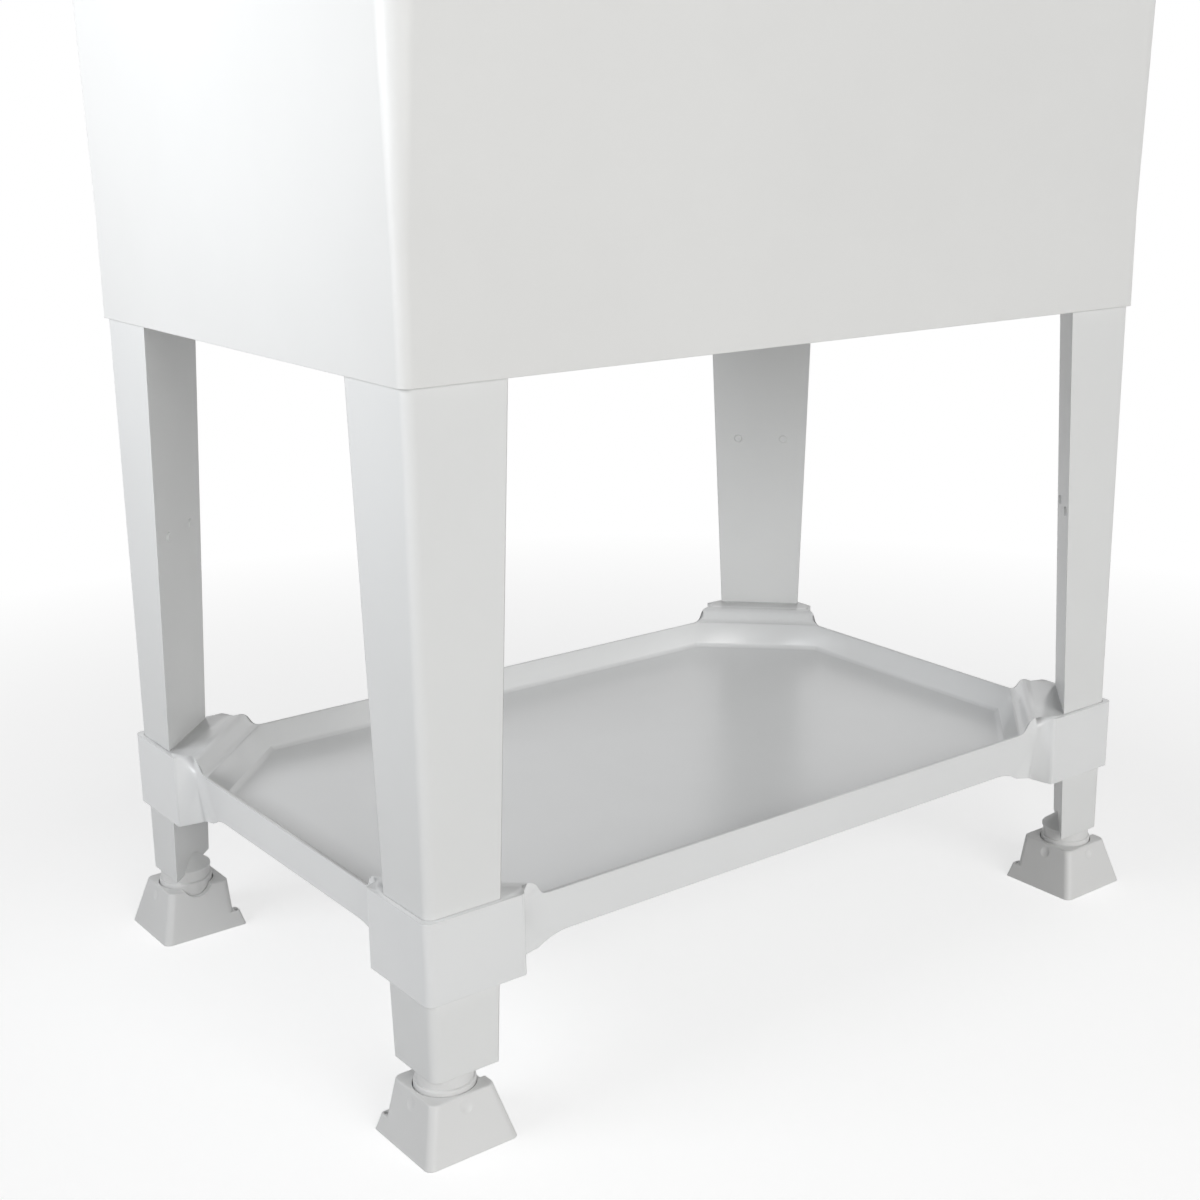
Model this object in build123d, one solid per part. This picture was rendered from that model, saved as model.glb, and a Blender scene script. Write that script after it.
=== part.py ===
from build123d import *
import math
import os

# Utility laundry sink: a deep moulded tub on four tapered corner legs, a shelf tray
# held round the legs and a levelling foot under each leg. All sizes in millimetres.
# Frame: origin on the floor under the middle of the sink, +X along its length,
# -Y is the front and +Z is up.

# Tub, outside
SKIRT_LENGTH = 666.0  # over the upright band at its lower edge
SKIRT_DEPTH = 445.0
SKIRT_BOTTOM = 495.0  # floor to the tub's lower edge
BAND_HEIGHT = 75.0  # upright band below the basin
WALL_HEIGHT = 294.0  # flared wall, from the band up to the rim
SIDE_FLARE = 0.021  # outward lean of the end walls, per mm of height
FRONT_FLARE = 0.051  # outward lean of the front and back walls, per mm of height
SKIRT_CORNER = 8.0
RIM_CORNER = 26.0
RIM_OVERHANG = 22.0
RIM_DROP = 22.0
RIM_EDGE = 6.0
# Tub, walls and basin
SKIRT_WALL = 2.5
BASIN_WALL = 4.0
RIM_WALL = 3.5
FLOOR_WALL = 4.0  # at the drain
FLOOR_FALL = 5.0
BASIN_CORNER = 34.0
BASIN_FOOT = 22.0  # radius between the basin's walls and floor
DECK_DEPTH = 88.0  # from the basin's back wall to the tub's outer back face
POCKET_WEB = 2.5
POCKET_RISE = 5.0  # webs stop this far above the skirt's edge
FLOOR_RIB = 2.5
FLOOR_RIB_DEPTH = 14.0
FLOOR_RIB_SPACING = 110.0
DRAIN_RIB_OFFSET = 75.0
# Tap holes in the back deck
TAP_SPACING = 101.6
TAP_HOLE = 28.6
# Legs
LEG_FIT = 0.3  # between a leg and what it is pushed into
LEG_WIDTH_TOP = 70.4  # flange width at the shoulder under the tub
LEG_WIDTH_BOTTOM = 48.5
LEG_BOTTOM = 49.5
LEG_SHOULDER_DROP = 2.3  # the taper ends this far below the skirt's edge
LEG_WALL = 2.5
LEG_CORNER = 7.0
PIP_HEIGHT = 331.0
PIP_SPACING = 44.0
PIP_RADIUS = 3.7
PIP_PROUD = 1.6
# Shelf tray
SHELF_RIM_INSET = 9.7  # rim's outer line inside the legs' outer faces
SHELF_RIM_TOP = 151.0
SHELF_LEAN = 0.136  # inward lean of the skirt, per mm down
SHELF_FLOOR_TOP = 130.0
SHELF_FLOOR = 3.0
SHELF_WALL = 3.0
SHELF_SKIRT_DEPTH = 32.5  # from the rim down to the skirt's lower edge
SHELF_INNER_FOOT = 9.5  # inner wall's foot, inside the rim's outer line
SHELF_SKIRT_CORNER = 6.0
SHELF_FLOOR_FILLET = 5.0
SHELF_RIB = 2.5
SHELF_RIB_DEPTH = 8.0
SHELF_RIB_SPACING = 92.0
# Shelf corner blocks and ridges
BLOCK_PROUD = 3.8  # block face outside the leg face
BLOCK_WIDTH = 74.0
BLOCK_BOTTOM = 106.0
BLOCK_TOP = 163.0
BLOCK_CORNER = 5.0
BLOCK_END_SLOPE = 6.0
BLOCK_END_FILLET = 3.5
RIDGE_SETBACK = 33.0  # from the block's crest line to the leg's flat face, along the wall
RIDGE_RUN = 21.0  # length of the S-curve, along the wall
RIDGE_FALL = 14.0  # run of the ridge's inner face, along the wall
ARCH_START = 31.0  # where the skirt's arch ends, from the block's end
ARCH_RUN = 16.0
ARCH_DEPTH = 7.5
# Levelling feet
FOOT_INSET = 19.2  # foot centre inside the leg's outer faces
PAD_BASE = 69.0
PAD_TOP = 47.6
PAD_HEIGHT = 38.0
PAD_UPRIGHT = 26.5  # from the foot's axis to the one side that doesn't taper
PAD_CORNER = 6.0
PAD_EDGE = 1.5
PAD_WALL = 3.0
PAD_SOCKET = 42.5
PAD_SOCKET_DEPTH = 12.0
PAD_SCOOP_WIDTH = 23.0
PAD_SCOOP_DEPTH = 7.0
PAD_DENT = 0.9
PAD_DENT_WIDTH = 9.0
PAD_DENT_DROP = 6.0  # below the pad's top
LUG_HEIGHT = 12.0
LUG_WIDTH = 12.0
LUG_CORNER = 2.5
LUG_EDGE = 0.6
LUG_HOLE = 3.5
LUG_HOLE_INSET = 6.1  # from both edges of the base
COLLAR_DIAMETER = 41.0
COLLAR_RING = 3.6  # visible ring above the pad
COLLAR_EDGE = 0.8
NECK_DIAMETER = 38.0
STUD_DIAMETER = 8.0
STUD_LENGTH = 46.0  # above the neck
STUD_FIT = 0.05
BUSH_DIAMETER = 16.0
BUSH_LENGTH = 8.0
BOSS_DIAMETER = 40.0
BOSS_HEIGHT = 1.5
BOSS_CONE = 10.0  # height over which the boss runs into the leg's flat face
BOSS_TIP = 14.0
SWIVEL_FIT = 0.1
PIN_DIAMETER = 11.0
PIN_CATCH = 1.6
# Drain
DRAIN_HOLE = 50.0
DRAIN_THREAD = 48.0
DRAIN_BORE = 42.0
DRAIN_FLANGE = 82.0
DRAIN_FLANGE_THICKNESS = 2.5
DRAIN_LENGTH = 34.0  # threaded barrel below the basin floor's upper face
GASKET_THICKNESS = 3.0
GASKET_DIAMETER = 76.0
FRICTION_THICKNESS = 1.2
LOCKNUT_DIAMETER = 70.0
LOCKNUT_HEIGHT = 9.0
LOCKNUT_LUG_COUNT = 6
TAIL_DIAMETER = 38.1
TAIL_WALL = 1.5
TAIL_BOTTOM = 474.0
TAIL_FLANGE = 3.0
TAIL_NECK = 5.0  # thinner stretch under the flange
TAIL_NECK_DEPTH = 0.4
TAIL_WASHER = 2.0
SLIP_NUT_DIAMETER = 58.0
SLIP_NUT_HEIGHT = 16.0
SLIP_NUT_SIDE_COUNT = 8
STOPPER_DIAMETER = 40.0
STOPPER_HEIGHT = 9.0
STOPPER_RING = 9.0
GRID_BAR = 2.4
GRID_SPACING = 8.0
NUT_FIT = 0.15
# Screws
SCREW_DIAMETER = 4.0
SCREW_HEAD = 8.0
SCREW_HEAD_HEIGHT = 2.6
SCREW_LENGTH = 12.0
SCREW_FIT = 0.05
SCREW_SPACING = 40.0
SCREW_DROP = 38.0  # leg screws below the band's top
SHELF_SCREW_RISE = 9.0  # shelf screws above the blocks' underside

# Derived places
BAND_TOP = SKIRT_BOTTOM + BAND_HEIGHT
RIM_TOP = BAND_TOP + WALL_HEIGHT
DISH_FLOOR = BAND_TOP + FLOOR_WALL
BASIN_FLOOR = DISH_FLOOR + FLOOR_FALL
LEG_X = SKIRT_LENGTH / 2 - SKIRT_WALL - LEG_FIT
LEG_Y = SKIRT_DEPTH / 2 - SKIRT_WALL - LEG_FIT
LEG_SHOULDER = SKIRT_BOTTOM - LEG_SHOULDER_DROP
FOOT_X = LEG_X - FOOT_INSET
FOOT_Y = LEG_Y - FOOT_INSET
SHELF_RIM_LENGTH = 2 * (LEG_X - SHELF_RIM_INSET)
SHELF_RIM_DEPTH = 2 * (LEG_Y - SHELF_RIM_INSET)
BLOCK_X = LEG_X + BLOCK_PROUD
BLOCK_Y = LEG_Y + BLOCK_PROUD
DRAIN_Y = -DECK_DEPTH / 2 + BASIN_WALL / 2
FAR = SKIRT_LENGTH
ROOT2 = math.sqrt(2)
CORNERS = {"front_left": (-1, -1), "front_right": (1, -1), "back_left": (-1, 1), "back_right": (1, 1)}


# Shared helpers


def corner_plane(sign_x, sign_y):
    """Upright plane through the origin at 45 degrees: local X points to the corner, local Y up."""
    outwards = Vector(sign_x, sign_y, 0).normalized()
    return Plane(origin=(0, 0, 0), x_dir=outwards, z_dir=outwards.cross(Vector(0, 0, 1)))


def diagonal_prism(corner, outline):
    """An outline of (distance along the diagonal, height) drawn out across the corner."""
    return extrude(corner_plane(*corner) * outline, amount=FAR, both=True)


def corner_square(corner, reach_x, reach_y, size, radius):
    """Square in plan with its outer corner at the given reach, that corner rounded."""
    sign_x, sign_y = corner
    square = Pos(sign_x * (reach_x - size / 2), sign_y * (reach_y - size / 2)) * Rectangle(size, size)
    tip = square.vertices().sort_by_distance((sign_x * reach_x, sign_y * reach_y, 0))[0]
    return fillet(tip, radius)


def upright(sketch, low, high):
    return extrude(Pos(0, 0, low) * sketch, amount=high - low)


def leg_width(height):
    """Flange width of a leg, which tapers evenly down to its end."""
    share = (height - LEG_BOTTOM) / (LEG_SHOULDER - LEG_BOTTOM)
    return LEG_WIDTH_BOTTOM + share * (LEG_WIDTH_TOP - LEG_WIDTH_BOTTOM)


def face_distance(width):
    """Distance from the middle of the sink to a leg's flat inner face, along the diagonal."""
    return (LEG_X + LEG_Y - width) / ROOT2


def ring(outer, inner, low, high):
    return upright(Circle(outer / 2) - Circle(inner / 2), low, high)


# Tub


def wall_length(height):
    return SKIRT_LENGTH + 2 * SIDE_FLARE * (height - BAND_TOP)


def wall_depth(height):
    return SKIRT_DEPTH + 2 * FRONT_FLARE * (height - BAND_TOP)


def tub_section(height, inset, radius):
    outline = RectangleRounded(wall_length(height) - 2 * inset, wall_depth(height) - 2 * inset, radius)
    return Pos(0, 0, height) * outline


def basin_section(height, inset, radius):
    """Basin in plan: the back deck takes its depth from the basin."""
    front = -wall_depth(height) / 2 + BASIN_WALL + inset
    back = wall_depth(height) / 2 - DECK_DEPTH - inset
    length = wall_length(height) - 2 * (BASIN_WALL + inset)
    return Pos(0, (front + back) / 2, height) * RectangleRounded(length, back - front, radius)


def deck_space_section(height):
    """Hollow behind the basin, open from below, under the deck."""
    front = wall_depth(height) / 2 - DECK_DEPTH + BASIN_WALL
    back = wall_depth(height) / 2 - BASIN_WALL
    length = wall_length(height) - 2 * BASIN_WALL
    return Pos(0, (front + back) / 2, height) * RectangleRounded(length, back - front, SKIRT_CORNER)


def tub_shell():
    """Outer walls and the turned-down rim, still solid inside."""
    band = upright(RectangleRounded(SKIRT_LENGTH, SKIRT_DEPTH, SKIRT_CORNER), SKIRT_BOTTOM, BAND_TOP)
    walls = loft([tub_section(BAND_TOP, 0, SKIRT_CORNER), tub_section(RIM_TOP, 0, RIM_CORNER)])
    rim_bottom = RIM_TOP - RIM_DROP
    length = wall_length(RIM_TOP) + 2 * RIM_OVERHANG
    depth = wall_depth(RIM_TOP) + 2 * RIM_OVERHANG
    rim_radius = RIM_CORNER + RIM_OVERHANG
    rim = upright(RectangleRounded(length, depth, rim_radius), rim_bottom, RIM_TOP)
    inside = RectangleRounded(length - 2 * RIM_WALL, depth - 2 * RIM_WALL, rim_radius - RIM_WALL)
    channel = upright(inside, rim_bottom, RIM_TOP - RIM_WALL)
    return band + walls + (rim - channel)


def basin_space():
    """What the basin holds: tapered walls, a soft foot and a floor that falls to the drain."""
    above = RIM_TOP + RIM_EDGE
    sections = [basin_section(BASIN_FLOOR, 0, BASIN_CORNER), basin_section(above, 0, BASIN_CORNER)]
    space = loft(sections)
    space = fillet(space.edges().group_by(Axis.Z)[0], BASIN_FOOT)
    dish_side = DRAIN_FLANGE + 2 * BASIN_FOOT
    dish_low = Pos(0, DRAIN_Y, DISH_FLOOR) * RectangleRounded(dish_side, dish_side, BASIN_FOOT)
    dish_high = basin_section(BASIN_FLOOR, BASIN_FOOT, BASIN_FOOT)
    return space + loft([dish_low, dish_high])


def leg_pocket(corner):
    """Web across a skirt corner and the roof that a leg's end stops against."""
    outer = face_distance(LEG_WIDTH_TOP) - LEG_FIT
    inner = outer - POCKET_WEB
    web = Pos((inner + outer) / 2, (SKIRT_BOTTOM + POCKET_RISE + BAND_TOP) / 2)
    web *= Rectangle(POCKET_WEB, BAND_HEIGHT - POCKET_RISE)
    roof = Polygon(
        (inner, BAND_TOP), (FAR, BAND_TOP), (FAR, DISH_FLOOR), (inner, DISH_FLOOR), align=None
    )
    within = upright(RectangleRounded(SKIRT_LENGTH, SKIRT_DEPTH, SKIRT_CORNER), SKIRT_BOTTOM, DISH_FLOOR)
    return diagonal_prism(corner, web + roof) & within


def floor_ribs():
    """Stiffening ribs under the basin floor, clear of the drain and the leg pockets."""
    low = BAND_TOP - FLOOR_RIB_DEPTH
    front = -SKIRT_DEPTH / 2 + SKIRT_WALL
    back = SKIRT_DEPTH / 2 - DECK_DEPTH + BASIN_WALL
    count = int((SKIRT_LENGTH / 2 - LEG_WIDTH_TOP) // FLOOR_RIB_SPACING)
    ribs = Sketch()
    for step in range(1, count + 1):
        for side in (-1, 1):
            rib = Rectangle(FLOOR_RIB, back - front)
            ribs += Pos(side * step * FLOOR_RIB_SPACING, (front + back) / 2) * rib
    long_rib = Rectangle(SKIRT_LENGTH - 2 * SKIRT_WALL, FLOOR_RIB)
    for side in (-1, 1):
        ribs += Pos(0, DRAIN_Y + side * DRAIN_RIB_OFFSET) * long_rib
    return upright(ribs, low, BAND_TOP + FLOOR_WALL / 2)


def tub():
    body = tub_shell() - basin_space()
    inner = RectangleRounded(
        SKIRT_LENGTH - 2 * SKIRT_WALL, SKIRT_DEPTH - 2 * SKIRT_WALL, SKIRT_CORNER - SKIRT_WALL
    )
    body -= upright(inner, SKIRT_BOTTOM, BAND_TOP)
    body -= loft([deck_space_section(BAND_TOP), deck_space_section(RIM_TOP - BASIN_WALL)])
    top_edges = body.edges().filter_by_position(Axis.Z, RIM_TOP, RIM_TOP)
    body = fillet(top_edges, RIM_EDGE - RIM_WALL)
    body += floor_ribs()
    for corner in CORNERS.values():
        body += leg_pocket(corner)
        body -= corner_screws(corner, POCKET_SCREWS, SCREW_FIT)
    body -= Pos(0, DRAIN_Y, DISH_FLOOR) * Cylinder(DRAIN_HOLE / 2, 4 * FLOOR_WALL)
    deck_middle = (wall_depth(RIM_TOP) - DECK_DEPTH) / 2 + RIM_EDGE
    for side in (-1, 1):
        hole = Cylinder(TAP_HOLE / 2, 4 * BASIN_WALL)
        body -= Pos(side * TAP_SPACING / 2, deck_middle, RIM_TOP) * hole
    return body


# Screws through the legs' flat faces, each given by its height and its offsets across the face

POCKET_SCREWS = (BAND_TOP - SCREW_DROP, (-SCREW_SPACING / 2, SCREW_SPACING / 2))
SHELF_SCREWS = (BLOCK_BOTTOM + SHELF_SCREW_RISE, (0,))


def screw(fit):
    """Pan-head screw along +X with the head's bearing face at the origin."""
    shank = Pos(SCREW_LENGTH / 2, 0, 0) * Rot(0, 90, 0) * Cylinder(SCREW_DIAMETER / 2 + fit, SCREW_LENGTH)
    head = Pos(-SCREW_HEAD_HEIGHT / 2, 0, 0) * Rot(0, 90, 0) * Cylinder(SCREW_HEAD / 2, SCREW_HEAD_HEIGHT)
    outer = head.edges().sort_by(Axis.X)[0]
    return shank + fillet(outer, SCREW_HEAD_HEIGHT / 2)


def corner_screws(corner, places, fit):
    """Screws at one corner, heads on the side of the sink's middle."""
    height, offsets = places
    if height > SKIRT_BOTTOM:
        bearing = face_distance(LEG_WIDTH_TOP) - LEG_FIT - POCKET_WEB
    else:
        bearing = socket_face()
    middle = (LEG_X - LEG_Y) / ROOT2 * corner[0] * corner[1]
    face = corner_plane(*corner).location
    return Compound([face * Pos(bearing, height, middle + offset) * screw(fit) for offset in offsets])


# Legs


def leg_wedge(corner, inset, low, high):
    """Everything outwards of a leg's flat face, moved outwards by the inset."""
    foot = face_distance(leg_width(low)) + inset
    shoulder = face_distance(LEG_WIDTH_TOP) + inset
    outline = Polygon(
        (foot, low), (FAR, low), (FAR, high), (shoulder, high), (shoulder, LEG_SHOULDER), align=None
    )
    return diagonal_prism(corner, outline)


def leg_pips(corner):
    """Two domed pips on the flat face."""
    distance = face_distance(leg_width(PIP_HEIGHT))
    middle = (LEG_X - LEG_Y) / ROOT2 * corner[0] * corner[1]
    length = PIP_PROUD + LEG_WALL / 2
    dome = Pos(length / 2 - PIP_PROUD, 0, 0) * Rot(0, 90, 0) * Cylinder(PIP_RADIUS, length)
    dome = fillet(dome.edges().sort_by(Axis.X)[0], PIP_PROUD - LEG_FIT)
    spots = [middle - PIP_SPACING / 2, middle + PIP_SPACING / 2]
    return [corner_plane(*corner).location * Pos(distance, PIP_HEIGHT, spot) * dome for spot in spots]


def leg(corner):
    """Hollow three-cornered leg: two outer flanges, a flat inner face and a round boss at its end."""
    sign_x, sign_y = corner
    axis = Pos(sign_x * FOOT_X, sign_y * FOOT_Y)
    outline = corner_square(corner, LEG_X, LEG_Y, LEG_WIDTH_TOP + LEG_CORNER, LEG_CORNER)
    column = upright(outline, LEG_BOTTOM, BAND_TOP)
    body = column & leg_wedge(corner, 0, LEG_BOTTOM, BAND_TOP)
    boss = Pos(0, 0, LEG_BOTTOM + BOSS_HEIGHT / 2) * Cylinder(BOSS_DIAMETER / 2, BOSS_HEIGHT)
    cone = Cone(BOSS_DIAMETER / 2, BOSS_TIP / 2, BOSS_CONE)
    boss += Pos(0, 0, LEG_BOTTOM + BOSS_HEIGHT + BOSS_CONE / 2) * cone
    body += (axis * boss) & column
    inner = corner_square(
        corner, LEG_X - LEG_WALL, LEG_Y - LEG_WALL, LEG_WIDTH_TOP + LEG_CORNER, LEG_CORNER - LEG_WALL
    )
    hollow_floor = LEG_BOTTOM + BOSS_HEIGHT + BOSS_CONE + LEG_WALL
    body -= upright(inner, hollow_floor, BAND_TOP) & leg_wedge(corner, LEG_WALL, hollow_floor, BAND_TOP)
    body -= axis * upright(Circle(BUSH_DIAMETER / 2), LEG_BOTTOM, LEG_BOTTOM + BUSH_LENGTH)
    body -= axis * upright(Circle(STUD_DIAMETER / 2 + LEG_FIT), LEG_BOTTOM, hollow_floor + LEG_WALL)
    for pip in leg_pips(corner):
        body += pip
    body -= corner_screws(corner, POCKET_SCREWS, SCREW_FIT)
    body -= corner_screws(corner, SHELF_SCREWS, SCREW_FIT)
    return body


# Shelf tray


def shelf_section(height, inset, radius):
    """The skirt in plan, which leans inwards as it goes down."""
    lean = SHELF_LEAN * (SHELF_RIM_TOP - height)
    outline = RectangleRounded(
        SHELF_RIM_LENGTH - 2 * (lean + inset), SHELF_RIM_DEPTH - 2 * (lean + inset), radius
    )
    return Pos(0, 0, height) * outline


def crest_distance():
    """Where the ridge's crest starts, along the diagonal."""
    return face_distance(leg_width(BLOCK_TOP)) - RIDGE_SETBACK / ROOT2


def socket_face():
    """Inner face of the wall between the tray's underside and a leg."""
    return face_distance(leg_width(BLOCK_TOP)) - SHELF_WALL


def ridge_outline(offset, low):
    """Under the S-curve that climbs from the rim to the crest, lowered by the offset."""
    foot = crest_distance() - RIDGE_RUN / ROOT2 + offset
    crest = crest_distance() + offset / 2
    top = BLOCK_TOP - offset
    curve = Spline((foot, SHELF_RIM_TOP - offset), (crest, top), tangents=((1, 0), (1, 0)))
    lead = foot if offset == 0 else foot - (RIDGE_FALL / ROOT2) + offset
    sides = Polyline(curve @ 1, (FAR, top), (FAR, low), (lead, low), curve @ 0)
    return make_face([curve, sides])


def block_outline(corner):
    """A corner block in plan, with its ends sloping back to the skirt."""
    sign_x, sign_y = corner
    skirt_x = SHELF_RIM_LENGTH / 2
    skirt_y = SHELF_RIM_DEPTH / 2
    end_x = BLOCK_X - BLOCK_WIDTH
    end_y = BLOCK_Y - BLOCK_WIDTH
    inner = skirt_x - BLOCK_WIDTH
    points = [
        (BLOCK_X, BLOCK_Y),
        (end_x, BLOCK_Y),
        (end_x - BLOCK_END_SLOPE, skirt_y - SHELF_WALL / 2),
        (inner, skirt_y - BLOCK_WIDTH),
        (skirt_x - SHELF_WALL / 2, end_y - BLOCK_END_SLOPE),
        (BLOCK_X, end_y),
    ]
    outline = Polygon(*[(sign_x * x, sign_y * y) for x, y in points], align=None)
    outer = outline.vertices().sort_by_distance((sign_x * BLOCK_X, sign_y * BLOCK_Y, 0))[0]
    outline = fillet(outer, BLOCK_CORNER)
    ends = [
        outline.vertices().sort_by_distance((sign_x * end_x, sign_y * BLOCK_Y, 0))[0],
        outline.vertices().sort_by_distance((sign_x * BLOCK_X, sign_y * end_y, 0))[0],
    ]
    return fillet(ends, BLOCK_END_FILLET)


def tray_space():
    """What the tray holds: an eight-sided space between the walls and the corner ridges."""
    ridge_top = (crest_distance() - RIDGE_RUN / ROOT2) * ROOT2
    slope = (SHELF_INNER_FOOT - SHELF_WALL) / (SHELF_RIM_TOP - SHELF_FLOOR_TOP)
    ridge_slope = RIDGE_FALL / (SHELF_RIM_TOP - SHELF_FLOOR_TOP)

    def section(height):
        below = SHELF_RIM_TOP - height
        x = SHELF_RIM_LENGTH / 2 - SHELF_WALL - slope * below
        y = SHELF_RIM_DEPTH / 2 - SHELF_WALL - slope * below
        cut = ridge_top - ridge_slope * below
        quarter = [(x, cut - x), (cut - y, y)]
        points = quarter + [(-a, b) for a, b in reversed(quarter)]
        points += [(-a, -b) for a, b in quarter] + [(a, -b) for a, b in reversed(quarter)]
        return Pos(0, 0, height) * Polygon(*points, align=None)

    space = loft([section(SHELF_FLOOR_TOP), section(SHELF_RIM_TOP + SHELF_WALL / 2)], ruled=True)
    return fillet(space.edges().group_by(Axis.Z)[0], SHELF_FLOOR_FILLET)


def skirt_arch(end, reach):
    """Side view of what is cut from under the skirt, with an arch at each end."""
    low = BLOCK_BOTTOM - SHELF_WALL
    straight = SHELF_RIM_TOP - SHELF_SKIRT_DEPTH
    near = end - BLOCK_END_SLOPE - ARCH_RUN
    flat = end - ARCH_START - ARCH_RUN
    points = [(end, BLOCK_BOTTOM), (near, straight - ARCH_DEPTH), (flat, straight)]
    right = Spline(points[1], points[2], tangents=((-1, 0.6), (-1, 0)))
    left = Spline((-flat, straight), (-near, straight - ARCH_DEPTH), tangents=((-1, 0), (-1, -0.6)))
    rest = [
        Polyline((end + SHELF_WALL, low), points[0], points[1]),
        right,
        Line(right @ 1, left @ 0),
        left,
        Polyline(left @ 1, (-end, BLOCK_BOTTOM), (-end - SHELF_WALL, low), (end + SHELF_WALL, low)),
    ]
    return extrude(reach * make_face(rest), amount=FAR, both=True)


def leg_socket(corner):
    """Hole that a leg passes through, tapered so that the leg wedges in it."""
    outline = corner_square(corner, LEG_X + LEG_FIT, LEG_Y + LEG_FIT, BLOCK_WIDTH, LEG_CORNER)
    column = upright(outline, BLOCK_BOTTOM - SHELF_WALL, BLOCK_TOP + SHELF_WALL)
    return column & leg_wedge(corner, 0, BLOCK_BOTTOM - SHELF_WALL, LEG_SHOULDER + LEG_FIT)


def shelf_ribs():
    """Grid of ribs under the tray's floor."""
    low = SHELF_FLOOR_TOP - SHELF_FLOOR - SHELF_RIB_DEPTH
    lean = SHELF_LEAN * (SHELF_RIM_TOP - low)
    length = SHELF_RIM_LENGTH - 2 * (lean + SHELF_WALL / 2)
    depth = SHELF_RIM_DEPTH - 2 * (lean + SHELF_WALL / 2)
    ribs = Sketch()
    across = int((length / 2 - BLOCK_WIDTH) // SHELF_RIB_SPACING)
    for step in range(-across, across + 1):
        ribs += Pos(step * SHELF_RIB_SPACING, 0) * Rectangle(SHELF_RIB, depth)
    along = int((depth / 2 - BLOCK_WIDTH) // SHELF_RIB_SPACING)
    for step in range(-along, along + 1):
        ribs += Pos(0, step * SHELF_RIB_SPACING) * Rectangle(length, SHELF_RIB)
    return upright(ribs, low, SHELF_FLOOR_TOP - SHELF_FLOOR / 2)


def shelf_tray():
    low = BLOCK_BOTTOM - SHELF_WALL
    under_floor = SHELF_FLOOR_TOP - SHELF_FLOOR
    rim_high = BLOCK_TOP + SHELF_WALL
    skirt_low = shelf_section(low, 0, SHELF_SKIRT_CORNER)
    body = loft([skirt_low, shelf_section(SHELF_RIM_TOP, 0, SHELF_SKIRT_CORNER)])
    tall = loft([skirt_low, shelf_section(rim_high, 0, SHELF_SKIRT_CORNER)])
    hollow_low = shelf_section(low, SHELF_WALL, SHELF_SKIRT_CORNER)
    hollow = loft([hollow_low, shelf_section(under_floor, SHELF_WALL, SHELF_SKIRT_CORNER)])
    hollow_tall = loft([hollow_low, shelf_section(rim_high, SHELF_WALL, SHELF_SKIRT_CORNER)])
    for corner in CORNERS.values():
        block = upright(block_outline(corner), low, BLOCK_TOP)
        body += (tall + block) & diagonal_prism(corner, ridge_outline(0, low))
    body -= tray_space()
    for corner in CORNERS.values():
        beyond = Polygon(
            (socket_face(), low), (FAR, low), (FAR, rim_high), (socket_face(), rim_high), align=None
        )
        keep = diagonal_prism(corner, beyond)
        hollow -= keep
        body -= (hollow_tall & diagonal_prism(corner, ridge_outline(SHELF_WALL, low))) - keep
    body -= hollow
    body += shelf_ribs()
    body -= skirt_arch(BLOCK_X - BLOCK_WIDTH, Plane.XZ)
    body -= skirt_arch(BLOCK_Y - BLOCK_WIDTH, Plane.YZ)
    body -= Pos(0, 0, BLOCK_BOTTOM - SHELF_WALL) * Box(FAR * 2, FAR * 2, 2 * SHELF_WALL)
    for corner in CORNERS.values():
        body -= leg_socket(corner)
        body -= corner_screws(corner, SHELF_SCREWS, SCREW_FIT)
    return body


# Levelling feet


def pad_lean():
    """Angle by which the pad's tapered faces lean in from upright."""
    return math.degrees(math.atan2((PAD_BASE - PAD_TOP) / 2, PAD_HEIGHT))


def pad_taper(inset):
    """Tool that cuts the -X side of a pad to its lean."""
    beyond = Pos(-PAD_BASE / 2, 0, 0) * Box(PAD_BASE, 4 * PAD_BASE, 4 * PAD_BASE)
    return Pos(inset - PAD_BASE / 2, 0, 0) * Rot(0, pad_lean(), 0) * beyond


def pad_block(inset, height):
    """The pad's form: three of its sides taper and the lugs' side, +Y, stays upright."""
    half = PAD_BASE / 2 - inset
    reach = PAD_UPRIGHT - inset
    block = upright(Pos(0, (reach - half) / 2) * Rectangle(2 * half, half + reach), 0, height)
    for turn in (0, 90, 180):
        block -= Rot(0, 0, turn) * pad_taper(inset)
    corners = block.edges().filter_by(lambda edge: abs(edge.tangent_at(0).Z) > 0.5)
    return fillet(corners, PAD_CORNER - inset)


def pad_lug():
    """Floor-screw lug at the -X end of the upright side, flush with the faces that taper."""
    root = PAD_UPRIGHT - PAD_CORNER - LUG_EDGE
    outline = Pos((LUG_WIDTH - PAD_BASE) / 2, (root + PAD_BASE / 2) / 2)
    lug = upright(outline * Rectangle(LUG_WIDTH, PAD_BASE / 2 - root), 0, LUG_HEIGHT)
    lug -= pad_taper(0)
    lug -= Rot(0, 0, -90) * pad_taper(0)
    outer = lug.edges().filter_by(lambda edge: abs(edge.tangent_at(0).Z) > 0.5).group_by(Axis.Y)[-1]
    lug = fillet(outer, LUG_CORNER)
    lug = fillet(lug.edges().group_by(Axis.Z)[-1], LUG_EDGE)
    spot = PAD_BASE / 2 - LUG_HOLE_INSET
    return lug - Pos(-spot, spot) * upright(Circle(LUG_HOLE / 2), 0, LUG_HEIGHT)


def sagitta_radius(width, depth):
    """Radius of the round tool that cuts a hollow of the given width and depth."""
    return (width**2 / 4 + depth**2) / (2 * depth)


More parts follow.
